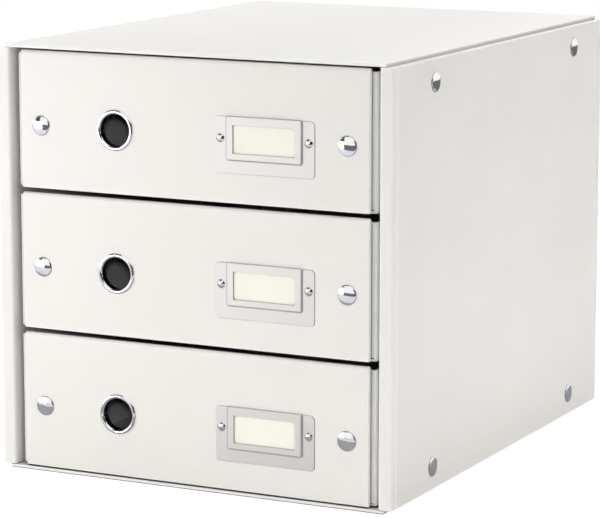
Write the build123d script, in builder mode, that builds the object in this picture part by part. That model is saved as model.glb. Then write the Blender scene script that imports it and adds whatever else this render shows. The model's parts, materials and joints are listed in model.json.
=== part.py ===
from build123d import *
from math import radians, tan
import os

# A desk drawer cabinet of foil-covered board: folded panels held by metal press studs,
# with drawers that slide on shelves. Millimetres. The origin is the centre of the underside,
# +Z is up, and the drawers open towards -Y.

os.makedirs("parts", exist_ok=True)

# Cabinet
cabinet_width = 283.6
cabinet_depth = 355.2
cabinet_height = 282.0
board = 2.1
side_wall = 9.5
fold_radius = 1.8
cover_round = 1.0
edge_bevel = 0.6
edge_round = 0.5
seam = 0.3
crease_inset = 6.4
crease_radius = 0.8
crease_depth = 0.3

# Largest share of a board's thickness that a fold rounds off
fold_limit_share = 0.9

# Hem at each end of a side panel's outer wall, and its share of the room outside the tuck flap
hem_height = 6.0
hem_share = 0.6

# Tuck flaps of the top and bottom panels, inside the hollow side panels
tuck_height = 32.0
tuck_corner = 9.0
tuck_end_gap = 1.5

# Shelves and back panel, held by tabs in slots of the side panels
shelf_setback = 24.0
back_inset = 4.0
tab_width = 40.0
back_tab_height = 34.0
tab_reach = 0.7
tab_clearance = 0.15
shelf_tab_shares = [-0.33, 0.0, 0.33]

# Drawers, named from the lowest
drawer_names = ["lower", "middle", "upper"]
front_recess = 1.6
front_board = 2.6
front_side_gap = 7.1
foot_gap = 0.5
shelf_gap = 0.5
head_gap = 1.4
front_round = 2.3
front_side_round = 1.2
tray_board = 2.0
tray_fold = 1.4
tray_side_gap = 3.2
tray_back_gap = 4.0
tray_drop = 2.4
slide_clearance = 0.3
flap_length = 39.0
flap_slit = 0.5

# Press studs
stud_radius = 6.6
stud_height = 1.6
stud_shoulder = 0.85
stud_round = 0.8
barrel_radius = 2.3
socket_radius = 5.2
post_step = 0.4
flange_radius = 5.0
flange_thickness = 0.8
front_stud_gap = 0.8
fit = 0.1
flange_room = 0.8
grip_share = 0.4
side_stud_front = 62.6
side_stud_back = 55.0
side_stud_edge = 14.9
front_stud_end = 15.2

# Places on a drawer front: the line of the ring, studs and rivets below its top edge, and the
# middles of the ring and the label holder from its ends
feature_drop = 48.7
ring_end = 70.4
label_end = 72.5

# Finger ring
ring_hole_radius = 10.35
ring_rim = 3.2
ring_height = 1.3
ring_wall = 0.9
ring_lip = 1.0
washer_rim = 2.2
washer_thickness = 0.6

# Label holder: a window in a raised frame, on a plate with an ear at each side for a rivet
window_width = 43.6
window_height = 18.1
window_corner = 0.8
frame_border = 5.05
frame_head = 5.2
frame_foot = 4.6
frame_round = 0.6
frame_draft = 30.0
ear_width = 8.2
plate_foot = 8.1
plate_corner = 3.0
plate_rise = 13.8
sheet = 0.5
sheet_round = 0.3
card_thickness = 0.4
card_clearance = 0.35
rivet_shank = 1.4
rivet_rim = 1.35
rivet_height = 0.9
rivet_lip = 0.8
rivet_tail = 0.6

# Extra length that lets a cut pass its far face
overrun = 1.0

# Places worked out from the sizes above
half_width = cabinet_width / 2
half_depth = cabinet_depth / 2
inner_half = half_width - side_wall
hollow_inner = inner_half + board
hollow_outer = half_width - board
cover_half = hollow_inner + board
side_bottom = board + seam
side_height = cabinet_height - 2 * side_bottom
drawer_count = len(drawer_names)
front_gap = shelf_gap + board + foot_gap
clear_height = cabinet_height - 2 * board - foot_gap - head_gap
front_height = (clear_height - (drawer_count - 1) * front_gap) / drawer_count
pitch = front_height + front_gap
front_bottoms = [board + foot_gap + pitch * level for level in range(drawer_count)]
front_face = -half_depth + front_recess
front_back = front_face + front_board
front_half = inner_half - front_side_gap
cover_fold = min(cover_round, fold_limit_share * board)
front_fold = min(front_round, fold_limit_share * front_board)
tray_bevel = min(tray_fold, fold_limit_share * tray_board)
sheet_edge = min(sheet_round, fold_limit_share * sheet)
back_face = half_depth - back_inset
back_inner = back_face - board
tray_front = front_back + front_stud_gap
tray_back = back_inner - tray_back_gap
tray_half = inner_half - tray_side_gap
tray_length = tray_back - tray_front
tray_middle = (tray_back + tray_front) / 2
tray_height = front_height + foot_gap - slide_clearance - tray_drop
side_stud_ys = [-half_depth + side_stud_front, half_depth - side_stud_back]
side_stud_zs = [side_bottom + side_stud_edge, side_bottom + side_height - side_stud_edge]
side_stud_places = [(y, z) for z in side_stud_zs for y in side_stud_ys]
front_stud_xs = [end * (front_half - front_stud_end) for end in (-1, 1)]
post_radius = barrel_radius - post_step
ring_x = ring_end - front_half
ring_radius = ring_hole_radius + ring_rim
label_x = front_half - label_end
frame_width = window_width + 2 * frame_border
frame_height = frame_head + window_height + frame_foot
frame_raise = card_thickness + 2 * card_clearance
frame_corner = frame_round + (frame_raise + sheet) * tan(radians(frame_draft))
plate_width = frame_width + 2 * ear_width
plate_height = frame_height + plate_foot
rivet_spacing = frame_width + ear_width
rivet_xs = [label_x + end * rivet_spacing / 2 for end in (-1, 1)]
shelf_front = -half_depth + shelf_setback
shelf_back = back_inner - tab_clearance
shelf_middle = (shelf_front + shelf_back) / 2
shelf_depth = shelf_back - shelf_front
shelf_tab_ys = [shelf_middle + share * shelf_depth for share in shelf_tab_shares]
shelf_bottoms = [bottom - foot_gap - board for bottom in front_bottoms[1:]]
tab_outer = hollow_inner + tab_reach
back_tab_zs = [bottom + front_height / 2 for bottom in front_bottoms]
side_stud_gap = hollow_outer - cover_half
hem = hem_share * side_stud_gap
tuck_front = -half_depth + board + tuck_end_gap
tuck_back = back_inner - tuck_end_gap


def finish(piece, label):
    """Name a finished piece and write its file."""
    piece.part.label = label
    export_step(piece.part, f"parts/{label}.step")


def side_plane(x):
    """Plane across the cabinet's width: its own X runs to the back and its own Y runs up."""
    return Plane(origin=(x, 0, 0), x_dir=(0, 1, 0), z_dir=(1, 0, 0))


def face_plane(y, z=0):
    """Plane that faces the user: its own X runs right, its own Y runs up."""
    return Plane(origin=(0, y, z), x_dir=(1, 0, 0), z_dir=(0, -1, 0))


def lathe_plane(place, outward):
    """Plane for a turned profile: its own X is the radius, its own Y points outward."""
    return Plane(origin=place, x_dir=(-outward[1], outward[0], 0), z_dir=(0, 0, -1))


# Side panel: a flat tube of folded board with softened ends, each end of its outer wall turned in as
# a hem. It has a crease behind the front fold, holes for the press studs in the outer wall, and in
# the inner wall square windows behind the studs' posts and slots for the shelf and back tabs
def make_side_panel(label, side):
    outer = side * half_width
    inner = side * inner_half
    through = side * (board + 2 * overrun)
    post_window = 2 * (flange_radius + flange_room)
    with BuildPart() as panel:
        with BuildSketch(Plane.XY.offset(side_bottom)):
            with Locations((outer - side * side_wall / 2, 0)):
                RectangleRounded(side_wall, cabinet_depth, fold_radius)
                Rectangle(side_wall - 2 * board, cabinet_depth - 2 * board, mode=Mode.SUBTRACT)
        extrude(amount=side_height)
        ends = panel.faces().filter_by(Axis.Z).sort_by(Axis.Z)
        fillet(ends[0].outer_wire().edges() + ends[-1].outer_wire().edges(), radius=edge_round)
        for end in (side_bottom, side_bottom + side_height - hem_height):
            with BuildSketch(Plane.XY.offset(end)):
                with Locations((side * (hollow_outer - hem / 2), 0)):
                    Rectangle(hem, cabinet_depth - 2 * board)
            extrude(amount=hem_height)
        with BuildSketch(Plane.XY.offset(side_bottom)):
            with Locations((outer + side * (crease_radius - crease_depth), -half_depth + crease_inset)):
                Circle(crease_radius)
        extrude(amount=side_height, mode=Mode.SUBTRACT)
        with BuildSketch(side_plane(outer + side * overrun)):
            with Locations(*side_stud_places):
                Circle(barrel_radius + fit)
        extrude(amount=-through, mode=Mode.SUBTRACT)
        with BuildSketch(side_plane(inner - side * overrun)):
            with Locations(*side_stud_places):
                Rectangle(post_window, post_window)
            with Locations(*[(y, z + board / 2) for z in shelf_bottoms for y in shelf_tab_ys]):
                Rectangle(tab_width + 2 * tab_clearance, board + 2 * tab_clearance)
            with Locations(*[(back_face - board / 2, z) for z in back_tab_zs]):
                Rectangle(board + 2 * tab_clearance, back_tab_height + 2 * tab_clearance)
        extrude(amount=through, mode=Mode.SUBTRACT)
    finish(panel, label)


# Top or bottom panel: a plate over the side panels' ends, with a tuck flap at each side
def make_cover_panel(label, plate_bottom, flap_root, flap_way, stud_z):
    tuck_tip = flap_root + flap_way * tuck_height
    tuck_shoulder = tuck_tip - flap_way * tuck_corner
    with BuildPart() as panel:
        with BuildSketch(Plane.XY.offset(plate_bottom)):
            Rectangle(2 * cover_half, cabinet_depth)
        extrude(amount=board)
        outer_face = panel.faces().sort_by(Axis.Z, reverse=flap_way < 0)[0]
        fillet(outer_face.edges().filter_by(Axis.Y), radius=cover_fold)
        rim_face = panel.faces().sort_by(Axis.Z, reverse=flap_way < 0)[0]
        chamfer(rim_face.edges().filter_by(Axis.X), length=edge_bevel)
        for side in (-1, 1):
            with BuildSketch(side_plane(side * cover_half)):
                with BuildLine():
                    Polyline(
                        (tuck_front, flap_root),
                        (tuck_front, tuck_shoulder),
                        (tuck_front + tuck_corner, tuck_tip),
                        (tuck_back - tuck_corner, tuck_tip),
                        (tuck_back, tuck_shoulder),
                        (tuck_back, flap_root),
                        close=True,
                    )
                make_face()
                with Locations(*[(y, stud_z) for y in side_stud_ys]):
                    Circle(post_radius + fit, mode=Mode.SUBTRACT)
            extrude(amount=-side * board)
    finish(panel, label)


# Back panel: a plate between the side panels, with tabs at the middle of each drawer
def make_back_panel(label):
    with BuildPart() as panel:
        with BuildSketch(face_plane(back_face)):
            with Locations((0, cabinet_height / 2)):
                Rectangle(2 * (inner_half - tab_clearance), cabinet_height - 2 * board - 2 * tab_clearance)
            with Locations(*[(0, z) for z in back_tab_zs]):
                Rectangle(2 * tab_outer, back_tab_height)
        extrude(amount=board)
    finish(panel, label)


# Shelf: a plate that carries a drawer, with tabs through the inner walls of the side panels
def make_shelf(label, bottom):
    with BuildPart() as shelf:
        with BuildSketch(Plane.XY.offset(bottom)):
            with Locations((0, shelf_middle)):
                Rectangle(2 * (inner_half - tab_clearance), shelf_depth)
            with Locations(*[(0, y) for y in shelf_tab_ys]):
                Rectangle(2 * tab_outer, tab_width)
        extrude(amount=board)
    finish(shelf, label)


# Press studs, turned about their axes: a low domed cap with a steep rounded edge and its barrel
# through the outer board, a socket ring between the two boards, and a flanged post through the
# inner board
def make_studs(label, places, outward, outer_board, gap, inner_board):
    grip = grip_share * gap
    barrel_end = -outer_board - grip
    socket_inner = -outer_board - gap
    post_seat = socket_inner - inner_board
    shoulder = (stud_radius - stud_round, stud_shoulder)
    with BuildPart() as caps:
        for place in places:
            with BuildSketch(lathe_plane(place, outward)):
                with BuildLine():
                    dome = TangentArc((0, stud_height), shoulder, tangent=(1, 0))
                    TangentArc(shoulder, (stud_radius, 0), tangent=dome % 1)
                    Polyline(
                        (stud_radius, 0),
                        (barrel_radius, 0),
                        (barrel_radius, barrel_end),
                        (0, barrel_end),
                        (0, stud_height),
                    )
                make_face()
            revolve(axis=Axis(place, outward))
    finish(caps, f"{label}_stud_caps")
    with BuildPart() as sockets:
        for place in places:
            with BuildSketch(lathe_plane(place, outward)):
                with BuildLine():
                    Polyline(
                        (barrel_radius + fit, -outer_board),
                        (socket_radius, -outer_board),
                        (socket_radius, socket_inner),
                        (barrel_radius + fit, socket_inner),
                        close=True,
                    )
                make_face()
            revolve(axis=Axis(place, outward))
    finish(sockets, f"{label}_stud_sockets")
    with BuildPart() as posts:
        for place in places:
            with BuildSketch(lathe_plane(place, outward)):
                with BuildLine():
                    Polyline(
                        (0, socket_inner + grip),
                        (post_radius, socket_inner + grip),
                        (post_radius, post_seat),
                        (flange_radius, post_seat),
                        (flange_radius, post_seat - flange_thickness),
                        (0, post_seat - flange_thickness),
                        close=True,
                    )
                make_face()
            revolve(axis=Axis(place, outward))
    finish(posts, f"{label}_stud_posts")


# Tray: base, sides, back and two front flaps folded from one board. The flaps hang from the
# sides and end a slit above the base
def make_tray(label, base, feature_z):
    floor = base + tray_board
    flap_inner = tray_half - flap_length
    with BuildPart() as tray:
        with BuildSketch(Plane.XY.offset(base)):
            with Locations((0, tray_middle)):
                RectangleRounded(2 * tray_half, tray_length, fold_radius)
        extrude(amount=tray_board)
        chamfer(tray.faces().sort_by(Axis.Z)[0].edges(), length=tray_bevel)
        with BuildSketch(Plane.XY.offset(floor)):
            with Locations((0, tray_middle)):
                RectangleRounded(2 * tray_half, tray_length, fold_radius)
                Rectangle(2 * (tray_half - tray_board), tray_length - 2 * tray_board, mode=Mode.SUBTRACT)
            with Locations((0, tray_front)):
                Rectangle(2 * flap_inner, 2 * (tray_board + overrun), mode=Mode.SUBTRACT)
        extrude(amount=tray_height - tray_board)
        with BuildSketch(Plane.XY.offset(floor)):
            with Locations((0, tray_front)):
                Rectangle(2 * (tray_half - tray_board), 2 * tray_board)
        extrude(amount=flap_slit, mode=Mode.SUBTRACT)
        with BuildSketch(face_plane(tray_front - overrun)):
            with Locations(*[(x, feature_z) for x in front_stud_xs]):
                Circle(post_radius + fit)
        extrude(amount=-(tray_board + 2 * overrun), mode=Mode.SUBTRACT)
    finish(tray, label)


# Drawer front: board with a rounded fold along its top edge, softer rounds down its sides and holes
# for what it carries
def make_front(label, bottom, feature_z):
    top = bottom + front_height
    with BuildPart() as front:
        with BuildSketch(side_plane(0)):
            with BuildLine():
                Polyline(
                    (front_face, top - front_fold),
                    (front_face, bottom),
                    (front_back, bottom),
                    (front_back, top),
                    (front_face + front_fold, top),
                )
                TangentArc(
                    (front_face + front_fold, top),
                    (front_face, top - front_fold),
                    tangent=(-1, 0),
                )
            make_face()
        extrude(amount=front_half, both=True)
        fillet(front.faces().sort_by(Axis.Y)[0].edges().filter_by(Axis.Z), radius=front_side_round)
        chamfer(front.faces().sort_by(Axis.Y)[0].edges().sort_by(Axis.Z)[:1], length=edge_bevel)
        with BuildSketch(face_plane(front_face - overrun)):
            with Locations((ring_x, feature_z)):
                Circle(ring_hole_radius + ring_wall + fit)
            with Locations(*[(x, feature_z) for x in front_stud_xs]):
                Circle(barrel_radius + fit)
            with Locations(*[(x, feature_z) for x in rivet_xs]):
                Circle(rivet_shank + fit)
        extrude(amount=-(front_board + 2 * overrun), mode=Mode.SUBTRACT)
    finish(front, label)


# Finger ring: an eyelet with a rounded rim, a barrel through the front and a lip clinched
# over the washer behind it
def make_finger_ring(ring_label, washer_label, feature_z):
    place = (ring_x, front_face, feature_z)
    outward = (0, -1, 0)
    barrel = ring_hole_radius + ring_wall
    crest = (ring_radius + ring_hole_radius) / 2
    washer_back = -front_board - washer_thickness
    with BuildPart() as ring:
        with BuildSketch(lathe_plane(place, outward)):
            with BuildLine():
                Polyline(
                    (ring_hole_radius, 0),
                    (ring_hole_radius, washer_back - ring_wall),
                    (barrel + ring_lip, washer_back - ring_wall),
                    (barrel + ring_lip, washer_back),
                    (barrel, washer_back),
                    (barrel, 0),
                    (ring_radius, 0),
                )
                ThreePointArc((ring_radius, 0), (crest, ring_height), (ring_hole_radius, 0))
            make_face()
        revolve(axis=Axis(place, outward))
    finish(ring, ring_label)
    with BuildPart() as washer:
        with BuildSketch(face_plane(front_back, feature_z)):
            with Locations((ring_x, 0)):
                Circle(barrel + washer_rim)
                Circle(barrel + fit, mode=Mode.SUBTRACT)
        extrude(amount=-washer_thickness)
    finish(washer, washer_label)


# Label holder: stamped sheet with softened outer edges and a raised frame that is open at the top,
# so that the card slides down behind the window
def make_label_holder(label, feature_z):
    plate_top = feature_z + plate_rise
    window_middle = plate_top - frame_head - window_height / 2
    plane = face_plane(front_face)
    with BuildPart() as holder:
        with BuildSketch(plane):
            with Locations((label_x, plate_top - plate_height / 2)):
                RectangleRounded(plate_width, plate_height, plate_corner)
        extrude(amount=sheet)
        fillet(holder.faces().sort_by(Axis.Y)[0].edges(), radius=sheet_edge)
        with BuildSketch(plane):
            with Locations((label_x, plate_top)):
                RectangleRounded(frame_width, 2 * frame_height, frame_corner)
        extrude(amount=frame_raise + sheet, taper=frame_draft)
        fillet(holder.faces().sort_by(Axis.Y)[0].edges(), radius=sheet_edge)
        with BuildSketch(plane):
            with Locations((label_x, plate_top)):
                RectangleRounded(frame_width - 2 * sheet, 2 * (frame_height - sheet), frame_corner)
        extrude(amount=frame_raise, taper=frame_draft, mode=Mode.SUBTRACT)
        with BuildSketch(plane):
            with Locations((label_x, window_middle)):
                RectangleRounded(window_width, window_height, window_corner)
            with Locations(*[(x, feature_z) for x in rivet_xs]):
                Circle(rivet_shank + fit)
        extrude(amount=frame_raise + sheet + overrun, mode=Mode.SUBTRACT)
        split(bisect_by=Plane.XY.offset(plate_top), keep=Keep.BOTTOM)
    finish(holder, label)


# Label card: it stands on the closed lower edge of the raised frame
def make_label_card(label, feature_z):
    plate_top = feature_z + plate_rise
    slope = (card_clearance + card_thickness) * tan(radians(frame_draft))
    card_inset = sheet + slope + card_clearance
    card_width = frame_width - 2 * card_inset
    card_bottom = plate_top - frame_height + card_inset
    with BuildPart() as card:
        with BuildSketch(face_plane(front_face - card_clearance)):
            with Locations((label_x, (plate_top + card_bottom) / 2)):
                Rectangle(card_width, plate_top - card_bottom)
        extrude(amount=card_thickness)
    finish(card, label)


# Rivets of the label holder, with a domed head outside and a pointed tail peened over behind
# the drawer front
def make_holder_rivets(label, feature_z):
    outward = (0, -1, 0)
    tail = -sheet - front_board
    head_radius = rivet_shank + rivet_rim
    with BuildPart() as rivets:
        for x in rivet_xs:
            place = (x, front_face - sheet, feature_z)
            with BuildSketch(lathe_plane(place, outward)):
                with BuildLine():
                    TangentArc((0, rivet_height), (head_radius, 0), tangent=(1, 0))
                    Polyline(
                        (head_radius, 0),
                        (rivet_shank, 0),
                        (rivet_shank, tail),
                        (rivet_shank + rivet_lip, tail),
                        (0, tail - rivet_tail),
                        (0, rivet_height),
                    )
                make_face()
            revolve(axis=Axis(place, outward))
    finish(rivets, label)


# Cabinet
for label, side in (("left", -1), ("right", 1)):
    make_side_panel(f"{label}_side_panel", side)
    make_studs(
        label,
        [(side * half_width, y, z) for y, z in side_stud_places],
        (side, 0, 0),
        board,
        side_stud_gap,
        board,
    )
make_cover_panel("top_panel", cabinet_height - board, cabinet_height - board, -1, side_stud_zs[1])
make_cover_panel("bottom_panel", 0, board, 1, side_stud_zs[0])
make_back_panel("back_panel")
for label, bottom in zip(("lower_shelf", "upper_shelf"), shelf_bottoms):
    make_shelf(label, bottom)

# Drawers
for name, bottom in zip(drawer_names, front_bottoms):
    feature_z = bottom + front_height - feature_drop
    make_tray(f"{name}_tray", bottom - foot_gap + slide_clearance, feature_z)
    make_front(f"{name}_front", bottom, feature_z)
    make_studs(
        name,
        [(x, front_face, feature_z) for x in front_stud_xs],
        (0, -1, 0),
        front_board,
        front_stud_gap,
        tray_board,
    )
    make_finger_ring(f"{name}_finger_ring", f"{name}_ring_washer", feature_z)
    make_label_holder(f"{name}_label_holder", feature_z)
    make_label_card(f"{name}_label_card", feature_z)
    make_holder_rivets(f"{name}_holder_rivets", feature_z)
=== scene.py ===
# %% [markdown]
# A white desk drawer unit, dressed for a product picture.
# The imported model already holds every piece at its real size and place, down to the rounded folds of the
# board and the stamped label holders. So this lesson gives the pieces their finish, turns the small
# polished domes again so that they mirror the studio cleanly, and then sets up the table, the studio that
# the metal reflects, the lamps and the camera.

# %% Load the frame
import itertools
import json
import math

import bmesh
import bpy
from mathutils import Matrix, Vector

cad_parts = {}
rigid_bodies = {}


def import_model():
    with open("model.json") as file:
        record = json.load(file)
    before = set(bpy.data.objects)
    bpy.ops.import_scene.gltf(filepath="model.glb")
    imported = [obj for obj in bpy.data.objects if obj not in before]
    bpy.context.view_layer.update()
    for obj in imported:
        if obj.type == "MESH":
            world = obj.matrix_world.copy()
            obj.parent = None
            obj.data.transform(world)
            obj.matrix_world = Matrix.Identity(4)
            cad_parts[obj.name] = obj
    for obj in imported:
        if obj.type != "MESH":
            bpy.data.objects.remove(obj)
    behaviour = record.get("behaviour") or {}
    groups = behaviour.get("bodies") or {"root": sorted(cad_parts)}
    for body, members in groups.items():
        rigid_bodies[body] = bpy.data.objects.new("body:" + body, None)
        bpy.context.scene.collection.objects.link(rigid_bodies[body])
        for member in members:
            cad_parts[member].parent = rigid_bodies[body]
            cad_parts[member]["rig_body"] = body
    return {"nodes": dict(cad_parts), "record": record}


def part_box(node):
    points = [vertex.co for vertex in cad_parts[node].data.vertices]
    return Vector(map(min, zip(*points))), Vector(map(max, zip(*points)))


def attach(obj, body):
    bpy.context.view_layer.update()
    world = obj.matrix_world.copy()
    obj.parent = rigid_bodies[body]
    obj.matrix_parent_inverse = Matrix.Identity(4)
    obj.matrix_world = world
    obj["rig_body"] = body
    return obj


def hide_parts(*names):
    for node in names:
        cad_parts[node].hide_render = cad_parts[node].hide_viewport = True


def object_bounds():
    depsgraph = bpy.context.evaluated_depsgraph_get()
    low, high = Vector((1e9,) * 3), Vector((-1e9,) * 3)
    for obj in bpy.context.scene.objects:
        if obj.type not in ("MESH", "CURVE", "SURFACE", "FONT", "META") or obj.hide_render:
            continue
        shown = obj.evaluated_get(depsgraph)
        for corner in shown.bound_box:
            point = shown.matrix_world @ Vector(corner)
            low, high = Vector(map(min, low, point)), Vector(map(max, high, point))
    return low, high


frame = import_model()
cad_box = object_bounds()
nodes = frame["nodes"]
record = frame["record"]

# %% [markdown]
# Colours are written the way a paint or web chart gives them, as sRGB hex values. Blender's sockets want
# linear light, so one function does the change. A second one adds a shader node: its own settings, and
# inputs that are either a value or another node's output. Pattern scales come from real sizes: a noise
# of scale 1 repeats about once a metre, so a pattern of so many millimetres needs 1000 over that.

# %% Colours, nodes and pattern scales
MM = 0.001


def linear(hex_colour):
    """Turn an sRGB hex value into the linear colour that a socket takes."""
    parts = [int(hex_colour[at:at + 2], 16) / 255 for at in (1, 3, 5)]
    light = [part / 12.92 if part <= 0.04045 else ((part + 0.055) / 1.055) ** 2.4 for part in parts]
    return (*light, 1.0)


def add_node(tree, kind, settings=None, inputs=None):
    """Add one shader node with its settings; an input is a value or another node's output."""
    node = tree.nodes.new(kind)
    for name, value in (settings or {}).items():
        setattr(node, name, value)
    for name, value in (inputs or {}).items():
        if isinstance(value, bpy.types.NodeSocket):
            tree.links.new(value, node.inputs[name])
        else:
            node.inputs[name].default_value = value
    return node


def per_mm(size):
    """The noise scale that repeats once in this many millimetres."""
    return 1.0 / (size * MM)


def new_material(name, sockets):
    """A material whose constant values are set on the shader's own sockets."""
    material = bpy.data.materials.new(name)
    material.use_nodes = True
    shader = material.node_tree.nodes["Principled BSDF"]
    for socket, value in sockets.items():
        shader.inputs[socket].default_value = value
    return material, material.node_tree, shader


print("white #FFFFFF is", linear("#FFFFFF")[:3], "in linear light")

# %% [markdown]
# Narrow gaps and inner corners get painted shade: the colour is darker where the light is shut off. The
# ambient occlusion node tells how much of the sky a point sees within a short reach. Below the closed share
# of it the colour is at its darkest, and above the clear share it is as it was. The mix node names its
# sockets alike for numbers and colours, so those for colours go by their place.

# %% Dark gaps and corners
MIX_AMOUNT, MIX_FIRST, MIX_SECOND, MIX_RESULT = 0, 6, 7, 2
NEAR_SAMPLES = 4


def shaded_corners(tree, colour, reach, closed, clear, least):
    """The colour with painted shade: darkened to its least share where something within this reach shuts
    off the light.
    """
    sky = add_node(tree, "ShaderNodeAmbientOcclusion", {"samples": NEAR_SAMPLES}, {"Distance": reach * MM})
    share = add_node(tree, "ShaderNodeMapRange", {},
                     {"Value": sky.outputs["AO"], "From Min": closed, "From Max": clear, "To Min": least})
    dark = add_node(tree, "ShaderNodeMix", {"data_type": "RGBA", "blend_type": "MULTIPLY"},
                    {MIX_AMOUNT: 1.0, MIX_FIRST: colour, MIX_SECOND: share.outputs["Result"]})
    return dark.outputs[MIX_RESULT]


print("a point's surroundings are felt with", NEAR_SAMPLES, "samples")

# %% [markdown]
# The cabinet and the drawer fronts are grey board laminated with white polypropylene film. The film is
# smooth and a little shiny, with a soft unevenness where it follows the board, like very fine orange peel.
# A plain white would look like plaster, so the tone and the gloss drift by a hair over a few centimetres
# and a faint bump bends the reflections. Over a fold the foil gets a painted highlight, a slightly brighter
# colour: the bevel node rounds the surface off, and the more its direction there departs from the flat one,
# the nearer is a fold. In the gaps between the pieces painted shade darkens the foil, but not along the
# seams of the top and the sides, which are folded tight.

# %% Foil-covered board
BOARD_WAVE, WAVE_DETAIL = 70.0, 2.0
FOIL_PEEL, PEEL_DETAIL = 2.6, 1.0
PEEL_STRENGTH, PEEL_DEPTH = 0.10, 0.05
FOIL_IOR, FOIL_SMOOTH, FOIL_DULL = 1.49, 0.30, 0.40
# The fold tone is the colour of a painted highlight on the folds.
FOIL_LIGHT, FOIL_DARK, FOLD_HIGHLIGHT_TONE = "#F3F0EC", "#EDEAE6", "#FFFFFD"
FOLD_REACH, FOLD_STARTS, FOLD_FULL = 1.5, 0.998, 0.95
# Painted shade for the seams and gaps between the pieces.
SEAM_SHADE = {"reach": 2.2, "closed": 0.40, "clear": 0.58, "least": 0.03}


def foil_board(name, seam_shade=None):
    """Polypropylene film laminated on grey board: white and smooth, with a soft sheen, a painted highlight
    on folds and, if asked for, painted shade in the seams.
    """
    material, tree, shader = new_material(name, {"IOR": FOIL_IOR, "Metallic": 0.0})
    place = add_node(tree, "ShaderNodeTexCoord").outputs["Object"]
    wave = add_node(tree, "ShaderNodeTexNoise", {},
                    {"Vector": place, "Scale": per_mm(BOARD_WAVE), "Detail": WAVE_DETAIL}).outputs["Fac"]
    peel = add_node(tree, "ShaderNodeTexNoise", {},
                    {"Vector": place, "Scale": per_mm(FOIL_PEEL), "Detail": PEEL_DETAIL}).outputs["Fac"]
    tone = add_node(tree, "ShaderNodeMix", {"data_type": "RGBA"},
                    {MIX_AMOUNT: wave, MIX_FIRST: linear(FOIL_DARK), MIX_SECOND: linear(FOIL_LIGHT)})
    gloss = add_node(tree, "ShaderNodeMapRange", {},
                     {"Value": wave, "To Min": FOIL_SMOOTH, "To Max": FOIL_DULL})
    bump = add_node(tree, "ShaderNodeBump", {},
                    {"Strength": PEEL_STRENGTH, "Distance": PEEL_DEPTH * MM, "Height": peel})
    rounded = add_node(tree, "ShaderNodeBevel", {"samples": NEAR_SAMPLES}, {"Radius": FOLD_REACH * MM})
    flat = add_node(tree, "ShaderNodeNewGeometry")
    alike = add_node(tree, "ShaderNodeVectorMath", {"operation": "DOT_PRODUCT"},
                     {0: rounded.outputs["Normal"], 1: flat.outputs["Normal"]})
    # Painted highlight: the more the bevel's direction departs from the flat one, the more the colour goes
    # over to the fold tone.
    painted_fold_highlight = add_node(tree, "ShaderNodeMapRange", {},
                       {"Value": alike.outputs["Value"], "From Min": FOLD_STARTS, "From Max": FOLD_FULL})
    bright = add_node(tree, "ShaderNodeMix", {"data_type": "RGBA"},
                      {MIX_AMOUNT: painted_fold_highlight.outputs["Result"], MIX_FIRST: tone.outputs[MIX_RESULT],
                       MIX_SECOND: linear(FOLD_HIGHLIGHT_TONE)})
    colour = bright.outputs[MIX_RESULT]
    # Painted shade darkens the colour in the seams, when asked for.
    if seam_shade:
        colour = shaded_corners(tree, colour, **seam_shade)
    tree.links.new(colour, shader.inputs["Base Color"])
    tree.links.new(gloss.outputs["Result"], shader.inputs["Roughness"])
    tree.links.new(bump.outputs["Normal"], shader.inputs["Normal"])
    return material


# The first foil gets painted seam shade, the second none.
white_foil = foil_board("white_polypropylene_foil_on_board", SEAM_SHADE)
tight_foil = foil_board("white_polypropylene_foil_folded_tight")
print("made", white_foil.name, "and", tight_foil.name)

# %% [markdown]
# The trays of the drawers are covered with light grey paper. The shelves between them get charcoal paper, a
# painted shade that keeps the gaps between the fronts dark. Paper is matt, and what the eye sees of it is a
# fine speckle of fibres. Real fibres are a tenth of a millimetre wide and would not show, so they are drawn
# about six times as coarse. The label cards are the same kind of stuff in a warm cream. Paper gets painted
# shade in narrow gaps too, as beside the drawer fronts, where a strip of the tray shows.

# %% Covering paper and card
PAPER_FLECK, FLECK_DETAIL, FLECK_SHARE = 0.6, 3.0, 0.6
PAPER_CLOUD, CLOUD_DETAIL = 18.0, 4.0
CLOUD_LOW, CLOUD_HIGH = 0.5, 1.1
FLECK_STRENGTH, FLECK_DEPTH = 0.35, 0.08
PAPER_IOR, PAPER_ROUGHNESS = 1.45, 0.82
# Painted shade for the paper in narrow gaps.
PAPER_GAP_SHADE = {"reach": 1.8, "closed": 0.40, "clear": 0.75, "least": 0.10}


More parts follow.
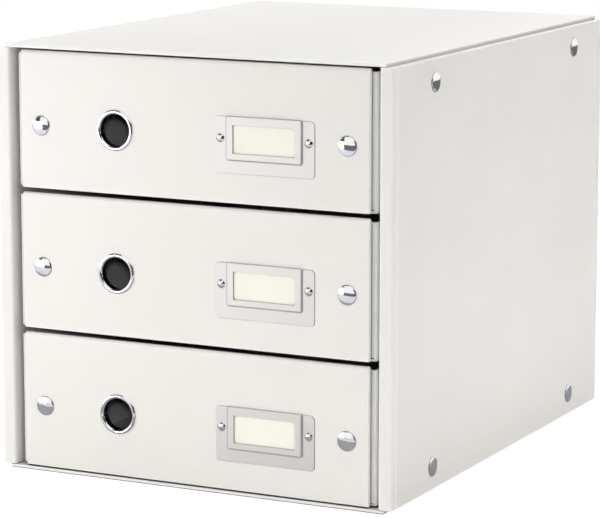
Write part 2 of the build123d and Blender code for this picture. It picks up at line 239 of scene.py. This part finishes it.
def covering_paper(name, light_tone, dark_tone):
    """Uncoated paper glued to board: matt, flecked, slightly uneven in tone."""
    material, tree, shader = new_material(
        name, {"IOR": PAPER_IOR, "Metallic": 0.0, "Roughness": PAPER_ROUGHNESS})
    place = add_node(tree, "ShaderNodeTexCoord").outputs["Object"]
    fleck = add_node(tree, "ShaderNodeTexNoise", {},
                     {"Vector": place, "Scale": per_mm(PAPER_FLECK), "Detail": FLECK_DETAIL}).outputs["Fac"]
    cloud = add_node(tree, "ShaderNodeTexNoise", {},
                     {"Vector": place, "Scale": per_mm(PAPER_CLOUD), "Detail": CLOUD_DETAIL}).outputs["Fac"]
    both = add_node(tree, "ShaderNodeMath", {"operation": "MULTIPLY_ADD"},
                    {0: fleck, 1: FLECK_SHARE, 2: cloud})
    spread = add_node(tree, "ShaderNodeMapRange", {},
                      {"Value": both.outputs[0], "From Min": CLOUD_LOW, "From Max": CLOUD_HIGH})
    tone = add_node(tree, "ShaderNodeMix", {"data_type": "RGBA"},
                    {MIX_AMOUNT: spread.outputs["Result"], MIX_FIRST: linear(dark_tone),
                     MIX_SECOND: linear(light_tone)})
    bump = add_node(tree, "ShaderNodeBump", {},
                    {"Strength": FLECK_STRENGTH, "Distance": FLECK_DEPTH * MM, "Height": fleck})
    # Painted shade: the paper is darker in narrow gaps.
    shaded = shaded_corners(tree, tone.outputs[MIX_RESULT], **PAPER_GAP_SHADE)
    tree.links.new(shaded, shader.inputs["Base Color"])
    tree.links.new(bump.outputs["Normal"], shader.inputs["Normal"])
    return material


grey_paper = covering_paper("light_grey_paper_on_board", "#EAEAEC", "#E1E1E4")
# Near-black paper for the shelves: painted shade for the gaps between the fronts.
gap_shade_charcoal_paper = covering_paper("charcoal_paper_gap_shade", "#1E1E1F", "#151516")
card_stock = covering_paper("cream_uncoated_card", "#FFFDF3", "#FDFAEC")
print("made", grey_paper.name, gap_shade_charcoal_paper.name, "and", card_stock.name)

# %% [markdown]
# The stud caps, finger rings and rivets are deep-drawn steel, polished and chrome plated. Chrome has hardly
# any colour of its own: it shows the room. Only the faintest polishing haze breaks the mirror, so the
# roughness is low and drifts a little. Right where a cap meets the board, painted shade darkens its base
# colour, which draws a thin dark line round it. The rings get no painted shade, so theirs is one colour,
# set on the shader's own socket. The washers behind the rings and the inner halves of the studs are plain
# nickel plate.

# %% Chrome and nickel plate
POLISH_HAZE, HAZE_DETAIL = 1.5, 3.0
CHROME_TONE, CHROME_SMOOTH, CHROME_DULL = "#F4F4F5", 0.03, 0.08
NICKEL_TONE, NICKEL_SMOOTH, NICKEL_DULL = "#D8D2C6", 0.14, 0.26
# Painted shade round the rim of a cap.
RIM_SHADE = {"reach": 1.6, "closed": 0.60, "clear": 0.96, "least": 0.10}


def plated_metal(name, tone, smooth, dull, rim_shade=None):
    """Plated steel: a mirror with a little polishing haze and, on a cap, painted shade that draws a dark
    line round its rim.
    """
    material, tree, shader = new_material(name, {"Base Color": linear(tone), "Metallic": 1.0})
    place = add_node(tree, "ShaderNodeTexCoord").outputs["Object"]
    haze = add_node(tree, "ShaderNodeTexNoise", {},
                    {"Vector": place, "Scale": per_mm(POLISH_HAZE), "Detail": HAZE_DETAIL}).outputs["Fac"]
    gloss = add_node(tree, "ShaderNodeMapRange", {}, {"Value": haze, "To Min": smooth, "To Max": dull})
    tree.links.new(gloss.outputs["Result"], shader.inputs["Roughness"])
    # On a cap, painted shade darkens the base colour near the board.
    if rim_shade:
        tree.links.new(shaded_corners(tree, linear(tone), **rim_shade), shader.inputs["Base Color"])
    return material


chrome = plated_metal("polished_chrome_plated_steel", CHROME_TONE, CHROME_SMOOTH, CHROME_DULL)
cap_chrome = plated_metal("polished_chrome_plated_caps", CHROME_TONE, CHROME_SMOOTH, CHROME_DULL, RIM_SHADE)
nickel = plated_metal("bright_nickel_plated_steel", NICKEL_TONE, NICKEL_SMOOTH, NICKEL_DULL)
print("made", chrome.name, cap_chrome.name, "and", nickel.name)

# %% [markdown]
# The label holders are stamped from sheet steel that was brushed along its length and nickel plated to a
# satin finish. The brushing stretches each reflection across the lines. The lines are 0.05 mm wide in
# reality, too fine to show, so they are drawn 0.4 mm wide and 30 mm long: a noise squeezed by a mapping
# node does it, and it drives both the roughness and a very low bump. The stamped corners are darkened with
# painted shade.

# %% Brushed satin nickel
BRUSH_WIDTH, BRUSH_LENGTH, BRUSH_DETAIL = 0.4, 30.0, 2.0
BRUSH_STRENGTH, BRUSH_DEPTH = 0.15, 0.02
SATIN_LIGHT, SATIN_DARK = "#FBF8F4", "#F1EFEB"
SATIN_SMOOTH, SATIN_DULL = 0.54, 0.66
# Painted shade for the stamped corners.
STAMP_SHADE = {"reach": 1.2, "closed": 0.58, "clear": 0.94, "least": 0.12}


def brushed_nickel(name):
    """Brushed, satin nickel-plated sheet steel, with painted shade in its stamped corners."""
    material, tree, shader = new_material(name, {"Metallic": 1.0})
    place = add_node(tree, "ShaderNodeTexCoord").outputs["Object"]
    stretch = add_node(tree, "ShaderNodeMapping", {"vector_type": "POINT"},
                       {"Vector": place,
                        "Scale": (per_mm(BRUSH_LENGTH), per_mm(BRUSH_WIDTH), per_mm(BRUSH_WIDTH))})
    noise = add_node(tree, "ShaderNodeTexNoise", {},
                     {"Vector": stretch.outputs["Vector"], "Scale": 1.0, "Detail": BRUSH_DETAIL})
    lines = noise.outputs["Fac"]
    tone = add_node(tree, "ShaderNodeMix", {"data_type": "RGBA"},
                    {MIX_AMOUNT: lines, MIX_FIRST: linear(SATIN_DARK), MIX_SECOND: linear(SATIN_LIGHT)})
    # Painted shade in the stamped corners.
    shaded = shaded_corners(tree, tone.outputs[MIX_RESULT], **STAMP_SHADE)
    gloss = add_node(tree, "ShaderNodeMapRange", {},
                     {"Value": lines, "To Min": SATIN_SMOOTH, "To Max": SATIN_DULL})
    bump = add_node(tree, "ShaderNodeBump", {},
                    {"Strength": BRUSH_STRENGTH, "Distance": BRUSH_DEPTH * MM, "Height": lines})
    tree.links.new(shaded, shader.inputs["Base Color"])
    tree.links.new(gloss.outputs["Result"], shader.inputs["Roughness"])
    tree.links.new(bump.outputs["Normal"], shader.inputs["Normal"])
    return material


satin_nickel = brushed_nickel("brushed_satin_nickel_steel")
print("made", satin_nickel.name)

# %% [markdown]
# The record names a material slot for every piece. Each slot gets its finish here, on the piece's own
# material slots, so the shapes stay exactly as they were packed. The top and the sides are in the same slot
# as the drawer fronts, but their foil is folded tight, so they get the finish without the painted seam
# shade.

# %% Dress the imported pieces
FINISH_OF_SLOT = {
    "white_foil_board": white_foil,
    "tray_board": grey_paper,
    "dark_board": gap_shade_charcoal_paper,
    "chrome": chrome,
    "nickel": nickel,
    "satin_steel": satin_nickel,
    "card": card_stock,
}
FOLDED_TIGHT = ("top_panel", "left_side_panel", "right_side_panel")
for row in record["subparts"]:
    mesh = nodes[row["node"]].data
    mesh.materials.clear()
    mesh.materials.append(FINISH_OF_SLOT[row["material_slot"]])
for panel in FOLDED_TIGHT:
    nodes[panel].data.materials[0] = tight_foil
print("dressed", len(record["subparts"]), "pieces,", len(FOLDED_TIGHT), "of them in tightly folded foil")

# %% [markdown]
# The caps of the press studs and the heads of the rivets are small polished domes. They are pressed round,
# so each is a profile turned about its axis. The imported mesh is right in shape, but the middle of each of
# its domes shades as if it leaned, and in a mirror that shows as a pale spot. So the caps and rivets are
# turned again here, at the same sizes and places, and Blender works out how they shade.
# An arc of the profile starts in a given direction and ends at a given point. That is all a circle needs:
# its middle lies square to that direction.

# %% Arcs of a profile
ARC_STEPS = 14


def arc_from(start, heading, end):
    """Points of an arc that leaves start along heading and bends right to end, and its last heading."""
    start, heading, end = Vector(start), Vector(heading).normalized(), Vector(end)
    inward = Vector((heading.y, -heading.x))
    chord = end - start
    radius = chord.length_squared / (2.0 * chord.dot(inward))
    middle = start + inward * radius
    turn = 2.0 * math.asin(chord.length / (2.0 * radius))
    angles = [turn * step / ARC_STEPS for step in range(ARC_STEPS + 1)]
    points = [middle + radius * (heading * math.sin(angle) - inward * math.cos(angle)) for angle in angles]
    return points, heading * math.cos(turn) + inward * math.sin(turn)


quarter, _ = arc_from((0.0, 1.0), (1.0, 0.0), (1.0, 0.0))
print("halfway round a quarter circle:", tuple(round(value, 3) for value in quarter[ARC_STEPS // 2]))

# %% [markdown]
# The places of the domes are read off their node's box: one radius in from its edges, and one dome's rise
# below its outer face. There the profile is spun about the axis. Where it starts and ends on the axis, the
# spin leaves a heap of points on one spot. They are merged, and the edges that are sharp on the real thing
# stay sharp in the shading. A side panel has four caps, one in each corner of the box. A drawer has its two
# in a row, and the lower and upper edges of so low a box give places 0.04 mm apart or less, because the
# packed facets fall a little short of the full circle. So there each dome is turned twice over.

# %% A way to turn small domes
TURN_STEPS = 72
PLACE_DIGITS = 6
MERGE_DISTANCE = 0.002 * MM
SHARP_ANGLE = math.radians(50.0)


def cap_places(node, outward, rise, radius):
    """Where the domes of a node meet the board."""
    low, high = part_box(node)
    along = max(range(3), key=lambda axis: abs(outward[axis]))
    spots = [sorted({round(low[axis] + radius, PLACE_DIGITS), round(high[axis] - radius, PLACE_DIGITS)})
             for axis in range(3)]
    spots[along] = [(high if outward[along] > 0 else low)[along] - outward[along] * rise]
    return [Vector(place) for place in itertools.product(*spots)]


def turned_mesh(name, places, outward, profile):
    """The profile, given as steps out from the axis and up along it, turned at each place."""
    shape = bmesh.new()
    for place in places:
        points = [shape.verts.new(place + Vector((0.0, 0.0, out)) + outward * up) for out, up in profile]
        lines = [shape.edges.new(pair) for pair in zip(points, points[1:])]
        bmesh.ops.spin(shape, geom=points + lines, cent=place, axis=outward, angle=math.tau,
                       steps=TURN_STEPS, use_merge=True)
    bmesh.ops.remove_doubles(shape, verts=shape.verts[:], dist=MERGE_DISTANCE)
    bmesh.ops.recalc_face_normals(shape, faces=shape.faces[:])
    for facet in shape.faces:
        facet.smooth = True
    mesh = bpy.data.meshes.new(name)
    shape.to_mesh(mesh)
    shape.free()
    mesh.set_sharp_from_angle(angle=SHARP_ANGLE)
    return mesh


def turned_pieces(node, outward, rise, radius, profile):
    """Turn a profile at each place where the node has a cap, and show that instead of the node."""
    name = "turned_" + node
    mesh = turned_mesh(name, cap_places(node, outward, rise, radius), outward, profile)
    mesh.materials.append(cap_chrome)
    piece = bpy.data.objects.new(name, mesh)
    bpy.context.collection.objects.link(piece)
    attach(piece, nodes[node]["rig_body"])
    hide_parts(node)
    return piece


print("a turn has", TURN_STEPS, "steps")

# %% [markdown]
# A stud cap is a low dome with a steep rounded edge, on a barrel that goes through the board. The dome's
# arc starts level at the middle, and the edge's arc carries on where the dome's ends.

# %% Stud caps
CAP_RADIUS, CAP_RISE = 6.6 * MM, 1.6 * MM
SHOULDER_RADIUS, SHOULDER_RISE = 5.8 * MM, 0.85 * MM
BARREL_RADIUS = 2.3 * MM
FRONT, LEFT, RIGHT = Vector((0.0, -1.0, 0.0)), Vector((-1.0, 0.0, 0.0)), Vector((1.0, 0.0, 0.0))
DRAWERS = ("lower", "middle", "upper")


def stud_caps(node, outward):
    """The stud caps of one node; the barrel ends where the node does."""
    low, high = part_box(node)
    length = abs((high - low).dot(outward)) - CAP_RISE
    dome, heading = arc_from((0.0, CAP_RISE), (1.0, 0.0), (SHOULDER_RADIUS, SHOULDER_RISE))
    edge, _ = arc_from((SHOULDER_RADIUS, SHOULDER_RISE), heading, (CAP_RADIUS, 0.0))
    barrel = [(BARREL_RADIUS, 0.0), (BARREL_RADIUS, -length), (0.0, -length)]
    return turned_pieces(node, outward, CAP_RISE, CAP_RADIUS, dome + edge[1:] + barrel)


caps = [stud_caps("left_stud_caps", LEFT), stud_caps("right_stud_caps", RIGHT)]
caps += [stud_caps(f"{drawer}_stud_caps", FRONT) for drawer in DRAWERS]
print("stud caps:", [(piece.name, len(piece.data.polygons)) for piece in caps])

# %% [markdown]
# The rivets of the label holders have a rounder head, a shank and a tail that is peened over behind the
# drawer front.

# %% Rivets
HEAD_RADIUS, HEAD_RISE = 2.75 * MM, 0.9 * MM
SHANK_RADIUS, TAIL_RADIUS, TAIL_RISE = 1.4 * MM, 2.2 * MM, 0.6 * MM


def holder_rivets(node):
    """The two rivets of one label holder; the tail ends where the node does."""
    low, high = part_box(node)
    length = high.y - low.y - HEAD_RISE
    head, _ = arc_from((0.0, HEAD_RISE), (1.0, 0.0), (HEAD_RADIUS, 0.0))
    shank = [(SHANK_RADIUS, 0.0), (SHANK_RADIUS, TAIL_RISE - length)]
    tail = [(TAIL_RADIUS, TAIL_RISE - length), (0.0, -length)]
    return turned_pieces(node, FRONT, HEAD_RISE, HEAD_RADIUS, head + shank + tail)


rivets = [holder_rivets(f"{drawer}_holder_rivets") for drawer in DRAWERS]
print("rivets:", [(piece.name, len(piece.data.polygons)) for piece in rivets])

# %% [markdown]
# The unit stands on a white table. The picture's background has to be pure white, so for rays that come
# straight from the camera, or by way of metal or glass, most of the paint's brightness is added as a glow.
# The rest is real light, which keeps the soft shadow. For all other rays it is plain white paint.

# %% Table paint
GLOW_SHARE, GLOW_STRENGTH = 0.86, 1.15


def seen_directly(tree):
    """1 for rays from the camera, or by way of a mirror or glass, and 0 for all other rays."""
    path = add_node(tree, "ShaderNodeLightPath")
    either = add_node(tree, "ShaderNodeMath", {"operation": "MAXIMUM"},
                      {0: path.outputs["Is Camera Ray"], 1: path.outputs["Is Glossy Ray"]})
    return add_node(tree, "ShaderNodeMath", {"operation": "MAXIMUM"},
                    {0: either.outputs[0], 1: path.outputs["Is Transmission Ray"]}).outputs[0]


def glowing_paint(name, colour):
    """White paint that reads as a pure white background but still takes a soft shadow."""
    material = bpy.data.materials.new(name)
    material.use_nodes = True
    tree = material.node_tree
    tree.nodes.clear()
    share = add_node(tree, "ShaderNodeMath", {"operation": "MULTIPLY"},
                     {0: seen_directly(tree), 1: GLOW_SHARE})
    paint = add_node(tree, "ShaderNodeBsdfDiffuse", {}, {"Color": linear(colour)})
    lit = add_node(tree, "ShaderNodeEmission", {}, {"Strength": GLOW_STRENGTH})
    both = add_node(tree, "ShaderNodeMixShader", {},
                    {0: share.outputs[0], 1: paint.outputs[0], 2: lit.outputs[0]})
    add_node(tree, "ShaderNodeOutputMaterial", {}, {"Surface": both.outputs[0]})
    return material


table_paint = glowing_paint("white_table_paint", "#EFEFEE")
print("made", table_paint.name)

# %% [markdown]
# The table top is one flat sheet, which lies a hair below the unit so that the two don't share a plane. One
# function makes a sheet through any corners, which is no part of the object. Another lays it flat.

# %% Table
TABLE_X, TABLE_Y, TABLE_DROP = (-2.0, 2.4), (-0.8, 3.0), 0.2 * MM


def flat_sheet(name, corners, material):
    """A flat sheet of the studio through these corners, not part of the object."""
    mesh = bpy.data.meshes.new(name)
    mesh.from_pydata([Vector(corner) for corner in corners], [], [tuple(range(len(corners)))])
    mesh.materials.append(material)
    sheet = bpy.data.objects.new(name, mesh)
    bpy.context.collection.objects.link(sheet)
    return sheet


def level_sheet(name, x_range, y_range, z, material):
    """A sheet that lies flat."""
    (left, right), (front, back) = x_range, y_range
    corners = [(left, front, z), (right, front, z), (right, back, z), (left, back, z)]
    return flat_sheet(name, corners, material)


table = level_sheet("table", TABLE_X, TABLE_Y, -TABLE_DROP, table_paint)
print("table", TABLE_X[1] - TABLE_X[0], "by", TABLE_Y[1] - TABLE_Y[0], "m")

# %% [markdown]
# Polished metal only looks like metal when it has something to reflect, so the studio gets a few things in
# paint and cloth. They are matt, in greys that were chosen by what the domes show of them.

# %% Grey sheets, paint and curtains
def matt_paint(name, colour):
    """Flat paint, felt or cloth with no shine."""
    sockets = {"Base Color": linear(colour), "Roughness": 1.0, "Specular IOR Level": 0.0}
    return new_material(name, sockets)[0]


# Grey sheets that make the table near the unit look grey in mirrors, darker at the right.
near_table_grey, near_table_dark_grey = matt_paint("near_table_grey", "#A4A4A9"), matt_paint("dark_grey_felt", "#8A8A8E")
pale_paint, floor_paint = matt_paint("pale_paint", "#DEDCE4"), matt_paint("floor_paint", "#B6B6BA")
curtain, dark_curtain = matt_paint("grey_curtain", "#8A8A8A"), matt_paint("dark_curtain", "#3C3C3E")
print("made two felts, two paints and two curtains")

# %% [markdown]
# The studio's things stand outside the picture and are shown to mirrors alone: they throw no shadow and
# light nothing. Two grey sheets lie round the unit, the right one darker, so that in mirrors the table near
# the unit looks grey. The pale front of the table lies beyond them and the studio floor further out. In
# mirrors they take the place of the white table.

# %% Mat and floor, for mirrors
MAT_LEFT, MAT_SPLIT, MAT_RIGHT = -0.6, 0.15, 0.7
MAT_FRONT, MAT_BACK, MAT_DROP = -0.37, 0.7, 0.1 * MM
EDGE_X, EDGE_FRONT = (-1.2, 1.2), -0.78
FLOOR_RANGE, FLOOR_LEVEL = (-14.0, 14.0), -0.75


def only_in_mirrors(sheet):
    """Show this sheet to reflections and to nothing else."""
    sheet.visible_camera = False
    sheet.visible_diffuse = False
    sheet.visible_transmission = False
    sheet.visible_volume_scatter = False
    sheet.visible_shadow = False


ground = [
    level_sheet("left_mat", (MAT_LEFT, MAT_SPLIT), (MAT_FRONT, MAT_BACK), -MAT_DROP, near_table_grey),
    level_sheet("right_mat", (MAT_SPLIT, MAT_RIGHT), (MAT_FRONT, MAT_BACK), -MAT_DROP, near_table_dark_grey),
    level_sheet("table_front", EDGE_X, (EDGE_FRONT, MAT_FRONT), -MAT_DROP, pale_paint),
    level_sheet("studio_floor", FLOOR_RANGE, FLOOR_RANGE, FLOOR_LEVEL, floor_paint),
]
for sheet in ground:
    only_in_mirrors(sheet)
table.visible_glossy = False
print("below the metal:", ", ".join(sheet.name for sheet in ground))

# %% [markdown]
# The long key lamp will stand at the front left with a white card below it, and above it shows a dark
# doorway of the studio. The right wall and the ceiling at the left are dark too: they give the steep edges
# of the metal their thin dark lines.

# %% Card, doorway, wall and ceiling, for mirrors
KEY_LEFT, KEY_RIGHT, KEY_Y, CARD_Z = -1.47, -0.47, -1.0, (-0.5, 0.0)
DOOR_LEFT, DOOR_RIGHT, DOOR_Y, DOOR_TOP = -4.1, -2.2, -3.6, 1.8
WALL_NEAR, WALL_FAR, WALL_TOP = (0.35, -3.4), (3.0, 0.1), 1.6
CEILING_X, CEILING_Y, CEILING_LEVEL = (-3.6, -0.35), (-3.4, -0.1), 2.3


def upright_sheet(name, start, end, z_range, material):
    """A sheet that stands on the line from start to end, both seen from above."""
    low, high = z_range
    corners = [(*start, low), (*end, low), (*end, high), (*start, high)]
    return flat_sheet(name, corners, material)


walls = [
    # The white card wears the table's glowing paint, so in mirrors it glows like a lamp, though it is only
    # a card.
    upright_sheet("white_card", (KEY_LEFT, KEY_Y), (KEY_RIGHT, KEY_Y), CARD_Z, table_paint),
    upright_sheet("doorway", (DOOR_LEFT, DOOR_Y), (DOOR_RIGHT, DOOR_Y), (FLOOR_LEVEL, DOOR_TOP), curtain),
    upright_sheet("right_wall", WALL_NEAR, WALL_FAR, (FLOOR_LEVEL, WALL_TOP), dark_curtain),
    level_sheet("left_ceiling", CEILING_X, CEILING_Y, CEILING_LEVEL, curtain),
]
for sheet in walls:
    only_in_mirrors(sheet)
print("round and above the metal:", ", ".join(sheet.name for sheet in walls))

# %% [markdown]
# The room itself is a white tent: pure white where it is seen, dimmer as a light.

# %% White tent
ROOM_LIGHT = 0.33


def white_tent(level):
    """A room that is white to look at and gives this much light from all sides."""
    world = bpy.data.worlds.new("white_tent")
    bpy.context.scene.world = world
    world.use_nodes = True
    tree = world.node_tree
    tree.nodes.clear()
    dim = add_node(tree, "ShaderNodeBackground", {}, {"Color": linear("#FFFFFF"), "Strength": level})
    white = add_node(tree, "ShaderNodeBackground", {}, {"Color": linear("#FFFFFF"), "Strength": 1.0})
    both = add_node(tree, "ShaderNodeMixShader", {},
                    {0: seen_directly(tree), 1: dim.outputs[0], 2: white.outputs[0]})
    add_node(tree, "ShaderNodeOutputWorld", {}, {"Surface": both.outputs[0]})


white_tent(ROOM_LIGHT)
print("room light", ROOM_LIGHT)

# %% [markdown]
# The key lamp is a long, low soft box at the front left, so the left of each front is a little brighter
# than the right, and the brushed holders have something bright to reflect. A wide lamp hangs over the top
# and one behind lifts the back. A narrow one at the right lights the folded corners. Two lamps shine
# straight down on the table, at the right and in front, and the table throws their light up onto the side
# and the fronts. A far fill lamp at the left adds to the fronts, the same whether a drawer is in or out. A
# small lamp just above the camera reaches into the finger holes. Only the key lamp and the narrow one show
# in mirrors: the others would draw bright squares on every dome.

# %% Lamps
FULL_SPREAD = 180.0


def soft_lamp(name, place, aim, size, power, spread=FULL_SPREAD, in_mirrors=False):
    """A rectangular soft lamp that faces a point; a grid on it narrows the spread of its light."""
    lamp = bpy.data.lights.new(name, "AREA")
    lamp.shape = "RECTANGLE"
    lamp.size, lamp.size_y = size
    lamp.energy = power
    lamp.spread = math.radians(spread)
    holder = bpy.data.objects.new(name, lamp)
    holder.location = place
    holder.rotation_euler = (Vector(aim) - Vector(place)).to_track_quat("-Z", "Y").to_euler()
    holder.visible_glossy = in_mirrors
    bpy.context.collection.objects.link(holder)
    return holder


CAMERA_PLACE = Vector((0.86292, -1.74642, 0.47015))
ABOVE_CAMERA = Vector((0.0, 0.0, 0.05))
KEY_TOP = 0.30
KEY_PLACE = Vector(((KEY_LEFT + KEY_RIGHT) / 2, KEY_Y, KEY_TOP / 2))
STRAIGHT_BACK = Vector((0.0, 1.0, 0.0))
MIDDLE = Vector((0.0, 0.0, cad_box[1][2] / 2))
lamps = [
    soft_lamp("key_lamp", place=KEY_PLACE, aim=KEY_PLACE + STRAIGHT_BACK,
              size=(KEY_RIGHT - KEY_LEFT, KEY_TOP), power=4.8, in_mirrors=True),
    soft_lamp("top_lamp", place=(-0.6, 0.05, 1.3), aim=MIDDLE, size=(1.2, 1.2), power=9.9),
    soft_lamp("back_lamp", place=(0.0, 1.5, 0.8), aim=MIDDLE, size=(1.0, 0.8), power=6.0),
    soft_lamp("corner_lamp", place=(1.34, -0.68, 0.25), aim=MIDDLE, size=(0.15, 0.6), power=0.5,
              in_mirrors=True),
    soft_lamp("floor_lamp", place=(0.72, 0.06, 1.3), aim=(0.72, 0.06, 0.0), size=(0.3, 0.75), power=4.8,
              spread=62.0),
    soft_lamp("front_lamp", place=(-0.1, -0.72, 1.3), aim=(-0.1, -0.72, 0.0), size=(0.6, 0.25), power=0.5,
              spread=50.0),
    soft_lamp("fill_lamp", place=(-1.6, -2.6, 0.7), aim=(-0.2, -0.18, 0.14), size=(0.6, 0.6), power=0.75,
              spread=40.0),
    soft_lamp("hole_lamp", place=CAMERA_PLACE + ABOVE_CAMERA, aim=MIDDLE, size=(0.05, 0.05), power=4.6),
]
print("lamps and their watts:", [(lamp.name, round(lamp.data.energy, 2)) for lamp in lamps])

# %% [markdown]
# The camera stands to the right of the unit and a little above it, well back, with a long lens, so the
# uprights stay nearly parallel. Its place was worked out from the corners of the cabinet in the picture.

# %% Camera
SENSOR_WIDTH, CAMERA_LENS = 36.0, 171.81
CAMERA_AZIMUTH, CAMERA_ELEVATION = 26.574, 10.113
camera_data = bpy.data.cameras.new("camera")
camera_data.sensor_width = SENSOR_WIDTH
camera_data.lens = CAMERA_LENS
camera = bpy.data.objects.new("camera", camera_data)
camera.location = CAMERA_PLACE
camera.rotation_euler = (math.radians(90.0 - CAMERA_ELEVATION), 0.0, math.radians(CAMERA_AZIMUTH))
bpy.context.collection.objects.link(camera)
bpy.context.scene.camera = camera
bpy.context.scene.view_settings.view_transform = "Standard"
print("camera at", tuple(round(value, 3) for value in camera.location))
